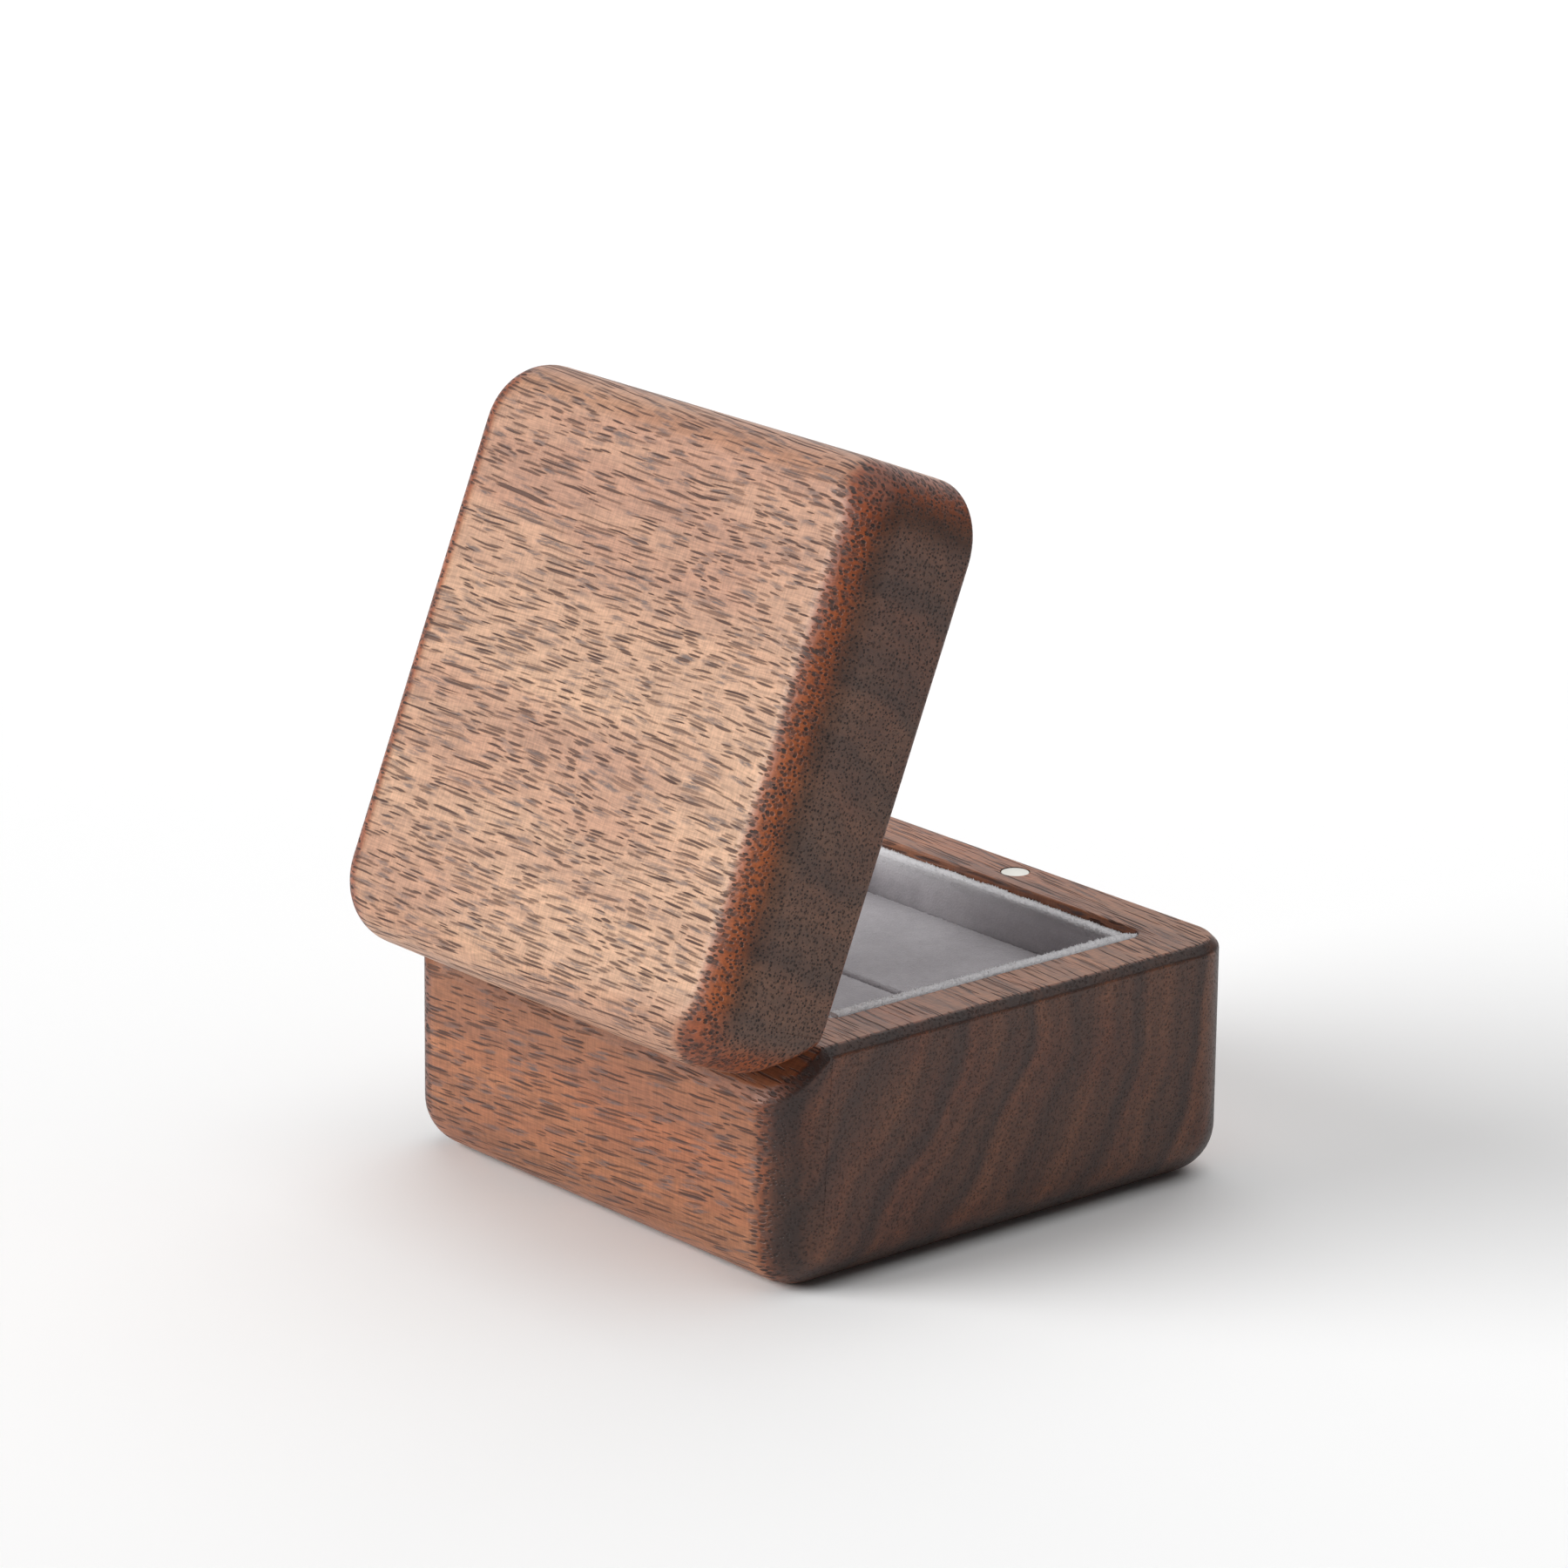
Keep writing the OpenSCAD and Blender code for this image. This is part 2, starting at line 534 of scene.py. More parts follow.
@dataclass(frozen=True)
class Marks:
    """One kind of light and dark mark in the wood: its cells per millimetre and its depth."""

    cells: Triple
    octaves: float
    span: Span
    tone: float


@dataclass(frozen=True)
class WalnutFinish:
    """Oiled walnut cut from one solid board, with the grain along X.

    Leans are the share of the surface's normal that points along the grain.
    """

    name: str
    pale: Colour
    rosy: Colour
    dark: Colour
    oiled_tint: Colour
    end_tint: Colour
    rosy_toward: Span
    pith: Span
    ring_pitch: float
    ring_depth: float
    slant: Span
    offset: Vector
    end_ring: Colour
    ring_share: float
    end_range: Span
    # Edge tint: painted shade on the base's slanted faces (rim chamfer and rounded corners); on
    # the lid, the fillet's own warmer wood.
    slope_tone_and_shade: Colour
    end_pores: float
    wander: float
    turned: Matrix = field(default_factory=lambda: Matrix.Identity(4))
    wide: VesselLayer = WIDE_VESSELS
    narrow: VesselLayer = NARROW_VESSELS
    oiled_lean: Span = (0.06, 0.34)
    # Leans of the slanted faces that take the edge tint, which is painted shade on the base.
    slope_tone_and_shade_leans: tuple[Span, Span] = ((0.3, 0.6), (0.96, 0.80))
    wave_cells: Triple = (0.020, 0.06, 0.06)
    ripple_cells: Triple = (0.16, 0.35, 0.35)
    ripple: float = 0.55
    cloud_cells: Triple = (0.025, 0.11, 0.11)
    ring_drift: Triple = (0.008, 0.07, 0.07)
    rise_of_band: Span = (0.1, 0.8)
    end_of_band: Span = (1.0, 0.84)
    bands_per_ring: float = 2.7
    close_share: float = 0.35
    plain_tone: float = 0.57
    streaks: Marks = Marks((0.07, 1.3, 1.3), 3.0, (0.25, 0.75), 0.18)
    fibres: Marks = Marks((0.30, 6.0, 6.0), 2.0, (0.3, 0.7), 0.30)
    rays: Marks = Marks((4.2, 0.65, 0.65), 2.0, (0.35, 0.65), 0.17)
    checks: Marks = Marks((1.1, 2.2, 2.2), 1.0, (0.3, 0.7), 0.12)
    torn_cells: Triple = (0.9, 7.0, 7.0)
    wide_lost_at_end: float = 0.7
    slant_widens: float = 0.35
    depth_when_cut: float = 0.3
    smooth: float = 0.42
    rougher_in_pores: float = 0.25
    relief_depth: float = 0.00008

    def material(self) -> Material:
        """Builds the material.

        Returns:
            The material.
        """
        bench = NodeBench(self.name)
        place = bench.place_in_mm(self.turned)
        shifted = bench.node("ShaderNodeVectorMath", operation="ADD")
        bench.feed(shifted.inputs[0], place)
        bench.feed(shifted.inputs[1], self.offset)
        wavy = self._warped(bench, shifted.outputs[0], self.wave_cells, self.wander)
        fine = self._warped(bench, wavy, self.ripple_cells, self.ripple)

        rings = self._rings(bench, wavy)
        end = self._lean(bench, self.end_range)
        oiled = self._lean(bench, self.oiled_lean)
        fibres = bench.noise(fine, self.fibres.cells, self.fibres.octaves)
        colour = self._ground(bench, wavy, rings)
        colour = bench.mix(1.0, colour, self._figure(bench, place, fine, fibres), "MULTIPLY")
        colour = bench.mix(1.0, colour, self._tint(bench, oiled, end), "MULTIPLY")
        banded = bench.math("MULTIPLY", bench.math("MULTIPLY", end, rings), self.ring_share)
        colour = bench.mix(banded, colour, self.end_ring)

        slanting = bench.math("SUBTRACT", oiled, end, clamp=True)
        wide = self._vessels(bench, fine, self.wide, slanting)
        wide = bench.math("MULTIPLY", wide, self._torn(bench, fine))
        kept = bench.math("MULTIPLY_ADD", end, -self.wide_lost_at_end, 1.0)
        wide = bench.math("MULTIPLY", wide, kept)
        narrow = self._vessels(bench, fine, self.narrow, slanting)
        kept = bench.math("MULTIPLY_ADD", end, self.end_pores - 1.0, 1.0)
        narrow = bench.math("MULTIPLY", narrow, kept)
        colour = bench.mix(wide, colour, self._sunk(bench, self.wide, oiled))
        colour = bench.mix(narrow, colour, self._sunk(bench, self.narrow, oiled))

        open_pores = bench.math("MAXIMUM", narrow, bench.math("MULTIPLY", wide, 0.6))
        bench.set(
            Base_Color=colour,
            Roughness=bench.math("MULTIPLY_ADD", open_pores, self.rougher_in_pores, self.smooth),
            Specular_IOR_Level=0.5,
        )
        sunk = bench.math("MULTIPLY", open_pores, -1.0)
        bench.bump(bench.math("MULTIPLY_ADD", fibres, 0.25, sunk), self.relief_depth)
        return bench.material

    def _tint(self, bench: NodeBench, oiled: Socket, end: Socket) -> Socket:
        """The oil's tint, which deepens as the surface turns across the grain, times the edge tint
        on slanted faces, which on the base is painted shade.

        Args:
            bench: The material's bench.
            oiled: Share of the first, warm stage.
            end: Share of the second, dull stage on end grain.

        Returns:
            The tint, which multiplies the wood's colour.
        """
        white = (1.0, 1.0, 1.0)
        tint = bench.mix(end, bench.mix(oiled, white, self.oiled_tint), self.end_tint)
        # Slanted faces take the edge tint: painted shade on the base, the wood's own warmer tone
        # on the lid.
        edge = bench.math("MULTIPLY", *(self._lean(bench, span) for span in self.slope_tone_and_shade_leans))
        return bench.mix(1.0, tint, bench.mix(edge, white, self.slope_tone_and_shade), "MULTIPLY")

    def _ground(self, bench: NodeBench, wavy: Socket, rings: Socket) -> Socket:
        """The wood's colour between the pores, from the rings and broad clouds.

        Args:
            bench: The material's bench.
            wavy: The place, bent with the grain.
            rings: The growth rings.

        Returns:
            The colour.
        """
        clouds = bench.ramp_between(bench.noise(wavy, self.cloud_cells, 3.0), 0.38, 0.64)
        parts = bench.node("ShaderNodeSeparateXYZ")
        bench.feed(parts.inputs[0], wavy)
        side = bench.ramp_between(parts.outputs["Y"], *self.rosy_toward)
        clouds = bench.math("MULTIPLY", clouds, 0.8)
        clouds = bench.math("MULTIPLY_ADD", side, 0.75, clouds, clamp=True)
        colour = bench.mix(clouds, self.pale, self.rosy)
        return bench.mix(bench.math("MULTIPLY", rings, self.ring_depth), colour, self.dark)

    def _figure(self, bench: NodeBench, place: Socket, fine: Socket, fibres: Socket) -> Socket:
        """Streaks along the grain and rays across it.

        Args:
            bench: The material's bench.
            place: The place.
            fine: The place, bent with the grain.
            fibres: The fibres' noise.

        Returns:
            A grey that multiplies the wood's colour.
        """
        kinds = (
            (self.streaks, bench.noise(fine, self.streaks.cells, self.streaks.octaves)),
            (self.fibres, fibres),
            (self.rays, bench.noise(place, self.rays.cells, self.rays.octaves)),
            (self.checks, bench.noise(fine, self.checks.cells, self.checks.octaves)),
        )
        tone = self.plain_tone
        for marks, pattern in kinds:
            shown = bench.ramp_between(pattern, *marks.span)
            tone = bench.math("MULTIPLY_ADD", shown, marks.tone, tone)
        grey = bench.node("ShaderNodeCombineColor")
        for socket in grey.inputs:
            bench.feed(socket, tone)
        return grey.outputs[0]

    @staticmethod
    def _warped(bench: NodeBench, vector: object, cells: Triple, reach: float) -> Socket:
        """Bends the grain.

        Args:
            bench: The material's bench.
            vector: The place.
            cells: Cells of the bend per millimetre.
            reach: How far the grain moves, in millimetres.

        Returns:
            The bent place.
        """
        drift = bench.node("ShaderNodeVectorMath", operation="MULTIPLY_ADD")
        bench.feed(drift.inputs[0], bench.noise(vector, cells, 1.0, colour=True))
        bench.feed(drift.inputs[1], (0.0, reach, reach))
        bench.feed(drift.inputs[2], vector)
        return drift.outputs[0]

    def _rings(self, bench: NodeBench, vector: object) -> Socket:
        """Growth rings round the pith.

        Args:
            bench: The material's bench.
            vector: The place, bent with the grain.

        Returns:
            0 in early wood to 1 in the dark bands.
        """
        parts = bench.node("ShaderNodeSeparateXYZ")
        bench.feed(parts.inputs[0], vector)
        squares = []
        for axis, centre in zip("YZ", self.pith):
            away = bench.math("SUBTRACT", parts.outputs[axis], centre)
            squares.append(bench.math("POWER", away, 2.0))
        radius = bench.math("SQRT", bench.math("ADD", *squares))
        uneven = bench.noise(vector, self.ring_drift, 1.0)
        turns = bench.math("ADD", bench.math("DIVIDE", radius, self.ring_pitch), uneven)
        saw = bench.math("FRACT", turns)
        slopes = (bench.ramp_between(saw, *span) for span in (self.rise_of_band, self.end_of_band))
        broad = bench.math("MULTIPLY", bench.math("MULTIPLY", *slopes), 1.0 - self.close_share)
        wave = bench.math("SINE", bench.math("MULTIPLY", turns, self.bands_per_ring * math.tau))
        close = bench.math("MULTIPLY_ADD", wave, 0.5, 0.5)
        return bench.math("MULTIPLY_ADD", close, self.close_share, broad)

    @staticmethod
    def _lean(bench: NodeBench, span: Span) -> Socket:
        """How far the surface is cut across the grain.

        Args:
            bench: The material's bench.
            span: The leans at which the share is 0 and 1.

        Returns:
            The share, from 0 to 1.
        """
        normal = bench.node("ShaderNodeSeparateXYZ")
        bench.feed(normal.inputs[0], bench.node("ShaderNodeTexCoord").outputs["Normal"])
        return bench.ramp_between(bench.math("ABSOLUTE", normal.outputs["X"]), *span)

    def _torn(self, bench: NodeBench, vector: object) -> Socket:
        """Breaks a wide vessel up into fibres, as a share of its strength."""
        return bench.ramp_between(bench.noise(vector, self.torn_cells, 2.0), 0.25, 0.6)

    def _sunk(self, bench: NodeBench, layer: VesselLayer, cut: Socket) -> Socket:
        """A vessel's colour, which is darker where it is cut across."""
        return bench.mix(cut, layer.colour, tuple(self.depth_when_cut * c for c in layer.colour))

    def _vessels(
        self, bench: NodeBench, vector: object, layer: VesselLayer, slanting: Socket
    ) -> Socket:
        """Vessels that run along the grain at a slant.

        Args:
            bench: The material's bench.
            vector: The place.
            layer: Size and look of the vessels.
            slanting: How far the surface is cut at a slant, where the vessels look wider.

        Returns:
            How much of the vessels' colour shows, 0 to 1.
        """
        parts = bench.node("ShaderNodeSeparateXYZ")
        bench.feed(parts.inputs[0], vector)
        section = bench.node("ShaderNodeCombineXYZ")
        for index, axis in enumerate("YZ"):
            slope = self.slant[index] * layer.steepness
            slid = bench.math("MULTIPLY_ADD", parts.outputs["X"], slope, parts.outputs[axis])
            bench.feed(section.inputs[index], slid)
        cells = bench.node("ShaderNodeTexVoronoi", voronoi_dimensions="2D", feature="F1")
        bench.feed(cells.inputs["Vector"], section.outputs[0])
        cells.inputs["Scale"].default_value = layer.per_mm
        chance = bench.node("ShaderNodeSeparateColor")
        bench.feed(chance.inputs[0], cells.outputs["Color"])
        uneven = bench.math("MULTIPLY_ADD", chance.outputs["Green"], 0.7, 0.65)
        widened = bench.math("MULTIPLY_ADD", slanting, self.slant_widens, 1.0)
        radius = bench.math("MULTIPLY", uneven, widened)
        radius = bench.math("MULTIPLY", radius, layer.radius * layer.per_mm)
        away = bench.math("DIVIDE", cells.outputs["Distance"], radius)
        inside = bench.ramp_between(away, 1.0 + layer.softness, 1.0 - layer.softness)
        present = bench.math("LESS_THAN", chance.outputs["Red"], layer.share)
        half = 0.5 * layer.strength
        dark = bench.math("MULTIPLY_ADD", chance.outputs["Blue"], half, half)
        return bench.math("MULTIPLY", bench.math("MULTIPLY", inside, present), dark)


@dataclass(frozen=True)
class VelvetFinish:
    """Short-pile velvet with a soft nap, with a painted highlight on the tips of its tufts, which
    stands in for light shining through the pile from behind.
    """

    name: str = "grey_velvet"
    shade: Colour = (0.37, 0.350, 0.370)
    light: Colour = (0.51, 0.488, 0.508)
    # The tip colour is a painted highlight: the pale, backlit tips of the pile.
    tip: Colour = (0.90, 0.89, 0.91)
    nap_cells: Triple = (0.16, 0.16, 0.16)
    tuft_cells: Triple = (4.5, 4.5, 4.5)
    mottle_cells: Triple = (1.1, 1.1, 1.1)
    tuft_depth: float = 0.00012

    def material(self) -> Material:
        """Builds the material.

        Returns:
            The material.
        """
        bench = NodeBench(self.name)
        place = bench.place_in_mm(Matrix.Identity(4))
        nap = bench.ramp_between(bench.noise(place, self.nap_cells, 2.0), 0.3, 0.7)
        tufts = bench.noise(place, self.tuft_cells, 2.0)
        mottles = bench.ramp_between(bench.noise(place, self.mottle_cells, 2.0), 0.3, 0.7)
        share = bench.math("MULTIPLY_ADD", nap, 0.40, bench.math("MULTIPLY", tufts, 0.4))
        share = bench.math("MULTIPLY_ADD", mottles, 0.25, share, clamp=True)
        colour = bench.mix(share, self.shade, self.light)
        # Painted highlight: this attribute's share lightens the velvet to the tip colour at the
        # pile's tips and top edges, standing in for backlight.
        tip_highlight_share = bench.node("ShaderNodeAttribute", attribute_name=TIP_HIGHLIGHT_LAYER)
        bench.set(
            Base_Color=bench.mix(tip_highlight_share.outputs["Fac"], colour, self.tip),
            Roughness=0.95,
            Specular_IOR_Level=0.1,
            Sheen_Weight=0.8,
            Sheen_Roughness=0.35,
            Sheen_Tint=(0.95, 0.94, 0.97),
        )
        bench.bump(tufts, self.tuft_depth, 0.7)
        return bench.material


@dataclass(frozen=True)
class MetalFinish:
    """Turned or plated metal with a fine texture."""

    name: str
    colour: Colour
    roughness: float
    mark_cells: Triple = (9.0, 9.0, 30.0)
    cloud_cells: Triple = (0.8, 0.8, 0.8)
    mark_depth: float = 0.00001

    def material(self) -> Material:
        """Builds the material.

        Returns:
            The material.
        """
        bench = NodeBench(self.name)
        place = bench.place_in_mm(Matrix.Identity(4))
        marks = bench.noise(place, self.mark_cells, 3.0)
        cloud = bench.noise(place, self.cloud_cells, 2.0)
        dull = tuple(0.86 * c for c in self.colour)
        bench.set(
            Base_Color=bench.mix(cloud, self.colour, dull),
            Metallic=1.0,
            Roughness=bench.math("MULTIPLY_ADD", marks, 0.18, self.roughness),
        )
        bench.bump(marks, self.mark_depth, 0.5)
        return bench.material


@dataclass(frozen=True)
class CardFinish:
    """Plain grey card."""

    name: str = "grey_card"
    colour: Colour = (0.16, 0.155, 0.16)
    pulp_cells: Triple = (2.5, 2.5, 2.5)
    pulp_depth: float = 0.00003

    def material(self) -> Material:
        """Builds the material.

        Returns:
            The material.
        """
        bench = NodeBench(self.name)
        pulp = bench.noise(bench.place_in_mm(Matrix.Identity(4)), self.pulp_cells, 3.0)
        lighter = tuple(1.4 * c for c in self.colour)
        bench.set(Base_Color=bench.mix(pulp, self.colour, lighter), Roughness=0.9)
        bench.bump(pulp, self.pulp_depth, 0.4)
        return bench.material


@dataclass
class Finishes:
    """Every finish on the box, each made once."""

    base_wood: Material
    lid_wood: Material
    velvet: Material
    brass: Material
    steel: Material
    nickel: Material
    card: Material

    @classmethod
    def make(cls, sizes: BoxSizes) -> "Finishes":
        """Builds the materials.

        Args:
            sizes: The sizes of the box.

        Returns:
            The finishes.
        """
        base_wood = WalnutFinish(
            name="walnut_base",
            pale=(0.422, 0.166, 0.071),
            rosy=(0.355, 0.117, 0.050),
            dark=(0.165, 0.073, 0.045),
            oiled_tint=(0.62, 0.47, 0.40),
            end_tint=(0.400, 0.362, 0.385),
            rosy_toward=(-60.0, -90.0),
            pith=(57.0, 39.0),
            ring_pitch=8.0,
            ring_depth=0.50,
            slant=(0.075, 0.045),
            offset=Vector((11.0, 0.0, 0.0)),
            end_ring=(0.022, 0.0125, 0.0115),
            ring_share=0.60,
            end_range=(0.25, 0.80),
            # Painted shade: this edge tint darkens and cools the base's rim chamfer and rounded
            # corners.
            slope_tone_and_shade=(0.40, 0.42, 0.49),
            end_pores=0.65,
            wander=1.8,
        )
        lid_wood = WalnutFinish(
            name="walnut_lid",
            pale=(0.612, 0.364, 0.228),
            rosy=(0.47, 0.240, 0.150),
            dark=(0.26, 0.145, 0.105),
            oiled_tint=(0.56, 0.26, 0.135),
            end_tint=(0.30, 0.224, 0.195),
            rosy_toward=(6.0, -24.0),
            pith=(-150.0, 0.0),
            ring_pitch=8.5,
            ring_depth=0.20,
            slant=(0.012, 0.085),
            offset=Vector((140.0, 0.0, 0.0)),
            end_ring=(0.022, 0.016, 0.015),
            ring_share=0.45,
            end_range=(0.70, 0.96),
            # The lid's edge tint is the fillet's own warmer wood, not shade.
            slope_tone_and_shade=(0.97, 0.92, 0.85),
            end_pores=1.0,
            wander=3.0,
            turned=sizes.lid_turn,
        )
        return cls(
            base_wood=base_wood.material(),
            lid_wood=lid_wood.material(),
            velvet=VelvetFinish().material(),
            brass=MetalFinish("satin_brass", (0.78, 0.57, 0.27), 0.28).material(),
            steel=MetalFinish("pin_steel", (0.62, 0.62, 0.63), 0.22).material(),
            nickel=MetalFinish("satin_nickel", (0.84, 0.83, 0.78), 0.42).material(),
            card=CardFinish().material(),
        )


def dress(piece: Piece, material: Material) -> None:
    """Gives a piece one material in every slot it has.

    Args:
        piece: The piece.
        material: The material.
    """
    if not piece.data.materials:
        piece.data.materials.append(material)
    for slot in piece.material_slots:
        slot.material = material


# --------------------------------------------------------------------- the wood


@dataclass
class WoodenHalf:
    """The base or the lid, milled from one block.

    Edges that turn by more than soft_from degrees are eased.
    """

    sizes: BoxSizes
    body: Body
    height: float
    corner_r: float
    edge_r: float
    floor_t: float
    bore_depth: float
    arc_segments: int = 14
    soft_edge: float = 0.26
    soft_from: float = 20.0

    @property
    def name(self) -> str:
        """Name of the piece."""
        return f"{self.body.value}_wood"

    def build(self, material: Material) -> Piece:
        """Mills the half and finishes it.

        Args:
            material: The wood.

        Returns:
            The piece.
        """
        bm = bmesh.new()
        self._block(bm)
        self._cut_groove(bm)
        self._chamfer_rim(bm)
        rim = open_top(bm, self.height, Vector((0, 0, self.height)))
        bmesh.ops.triangle_fill(bm, use_beauty=True, edges=rim + self._hollow(bm))
        bmesh.ops.recalc_face_normals(bm, faces=bm.faces)
        self._soften(bm)
        piece = finish_piece(bm, self.name, self.sizes.place(self.body))
        self._drill(piece)
        even_normals(piece)
        dress(piece, material)
        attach(piece, self.body.value)
        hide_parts(f"{self.body.value}_body")
        return piece

    def _block(self, bm: Mesh) -> None:
        """Makes the block, with rounded corners and a rounded lower edge.

        Args:
            bm: The mesh to add to.
        """
        half = self.sizes.side / 2
        verts = box_at(bm, Vector((-half, -half, 0)), Vector((half, half, self.height)))
        uprights = [e for e in edges_of(verts) if is_upright(e)]
        round_over(bm, uprights, self.corner_r, self.arc_segments)
        low = [e for e in bm.edges if at_height(e, 0)]
        round_over(bm, low, self.edge_r, self.arc_segments)

    def _hollow(self, bm: Mesh) -> list[Edge]:
        """Adds the walls and floor of the hollow.

        Args:
            bm: The mesh to add to.

        Returns:
            The edges round the hollow's mouth.
        """
        width, depth, middle = self.sizes.hollow
        low = Vector((-width / 2, middle - depth / 2, self.floor_t))
        high = Vector((width / 2, middle + depth / 2, self.height))
        verts = box_at(bm, low, high)
        uprights = [e for e in edges_of(verts) if is_upright(e)]
        round_over(bm, uprights, self.sizes.hollow_corner_r, self.arc_segments)
        return open_top(bm, self.height, Vector((0, middle, self.height)))

    def _chamfer_rim(self, bm: Mesh) -> None:
        """Takes the corner off the outer edge, all the way round the rim and the groove.

        Args:
            bm: The half's mesh.
        """
        walls = {f for f in bm.faces if abs(f.normal.z) < 0.01}
        above = [e for e in bm.edges if self._is_above_fillet(e)]
        outer = [e for e in above if len(walls.intersection(e.link_faces)) == 1]
        round_over(bm, outer, self.sizes.rim_chamfer, 1)

    def _is_above_fillet(self, edge: Edge) -> bool:
        """Whether an edge is above the rounded lower edge of the block."""
        return min(v.co.z for v in edge.verts) > self.edge_r + TINY

    def _cut_groove(self, bm: Mesh) -> None:
        """Planes the bevel along the rear of the rim, which gives the open lid its room.

        Args:
            bm: The half's mesh.
        """
        sizes = self.sizes
        bmesh.ops.bisect_plane(
            bm,
            geom=[*bm.verts, *bm.edges, *bm.faces],
            dist=TINY,
            plane_co=(0, sizes.side / 2 - sizes.bevel_y, self.height),
            plane_no=(0, sizes.bevel_z, sizes.bevel_y),
            clear_outer=True,
        )
        bmesh.ops.holes_fill(bm, edges=[e for e in bm.edges if e.is_boundary], sides=0)
        bmesh.ops.recalc_face_normals(bm, faces=bm.faces)

    def _soften(self, bm: Mesh) -> None:
        """Eases every sharp outer edge, as sanding does.

        Args:
            bm: The half's mesh.
        """
        outer = [e for e in bm.edges if e.is_manifold and e.is_convex]
        sharp = [e for e in outer if e.calc_face_angle() > math.radians(self.soft_from)]
        round_over(bm, sharp, self.soft_edge, 3)

    def _drill(self, piece: Piece) -> None:
        """Bores the hinge holes and the magnet's pocket.

        Args:
            piece: The half, already placed.
        """
        sizes = self.sizes
        bm = bmesh.new()
        past = 1.0
        bore = (sizes.pivot.y, sizes.bore_r, self.bore_depth)
        holes = [(side * sizes.hinge_x, *bore) for side in (-1, 1)]
        magnet_y = sizes.magnet_inset - sizes.side / 2
        pocket = sizes.magnet_t + 2 * sizes.glue_gap
        holes.append((0.0, magnet_y, sizes.magnet_r + sizes.glue_gap, pocket))
        for x, y, radius, depth in holes:
            middle = self.height + (past - depth) / 2
            bmesh.ops.create_cone(
                bm,
                cap_ends=True,
                segments=ROUND_SEGMENTS,
                radius1=radius,
                radius2=radius,
                depth=depth + past,
                matrix=Matrix.Translation((x, y, middle)),
            )
        drill = finish_piece(bm, f"{self.name}_drill", sizes.place(self.body))
        cut = piece.modifiers.new("drill", "BOOLEAN")
        cut.operation = "DIFFERENCE"
        cut.solver = "EXACT"
        cut.object = drill
        apply_modifiers(piece)
        bpy.data.objects.remove(drill)
        piece.data.set_sharp_from_angle(angle=math.radians(SHARP_ANGLE))


# ------------------------------------------------------------------- soft pieces


@dataclass(frozen=True)
class Pile:
    """The upright fibres of velvet, as fine tufts."""

    grid: float = 0.145
    short: float = 0.04
    long: float = 0.32
    lean: float = 0.10
    # Height below the top over which the painted tip highlight fades out, in millimetres.
    tip_highlight_fade: float = 3.4

    def slice(self, bm: Mesh, axis: int, low: float, high: float, coarser: float = 1.0) -> None:
        """Cuts a mesh into even slices across an axis.

        Args:
            bm: The mesh.
            axis: The axis, 0 to 2.
            low: Where the slices start.
            high: Where they end.
            coarser: Thickness of a slice, in tufts.
        """
        count = max(1, round((high - low) / (self.grid * coarser)))
        normal = Vector([1.0 if i == axis else 0.0 for i in range(3)])
        for i in range(1, count):
            at = normal * (low + (high - low) * i / count)
            geom = [*bm.verts, *bm.edges, *bm.faces]
            bmesh.ops.bisect_plane(bm, geom=geom, dist=TINY, plane_co=at, plane_no=normal)

    def grow(self, bm: Mesh, faces: list[Face], rise: Span, seed: str) -> None:
        """Raises a tuft on each face, and paints a highlight share on the vertices near the top
        and more on the tufts' tips, standing in for backlight through the pile.

        Args:
            bm: The mesh.
            faces: The faces that bear pile.
            rise: Heights between which the tufts grow from short to long.
            seed: Seed of the tufts' unevenness.
        """
        draw = random.Random(seed)
        tip_highlight_share = bm.verts.layers.float.new(TIP_HIGHLIGHT_LAYER)
        tufts = bmesh.ops.poke(bm, faces=faces)["verts"]
        bm.normal_update()
        # Painted highlight: the share grows towards the top edge and is stronger on the tufts'
        # tips.
        for vert in bm.verts:
            vert[tip_highlight_share] = 0.85 * self._share(vert.co.z, rise[1] - self.tip_highlight_fade, rise[1]) ** 2
        for tip in tufts:
            height = self._share(tip.co.z, *rise) ** 1.5
            reach = (self.short + (self.long - self.short) * height) * draw.uniform(0.35, 1.0)
            side = Vector([draw.uniform(-1, 1) for _ in range(3)]) * self.lean * reach / self.long
            tip.co += tip.normal * reach + side
            tip[tip_highlight_share] = min(1.0, 1.3 * tip[tip_highlight_share])

    @staticmethod
    def _share(value: float, low: float, high: float) -> float:
        """How far a value is from low to high, kept between 0 and 1."""
        return min(1.0, max(0.0, (value - low) / (high - low)))


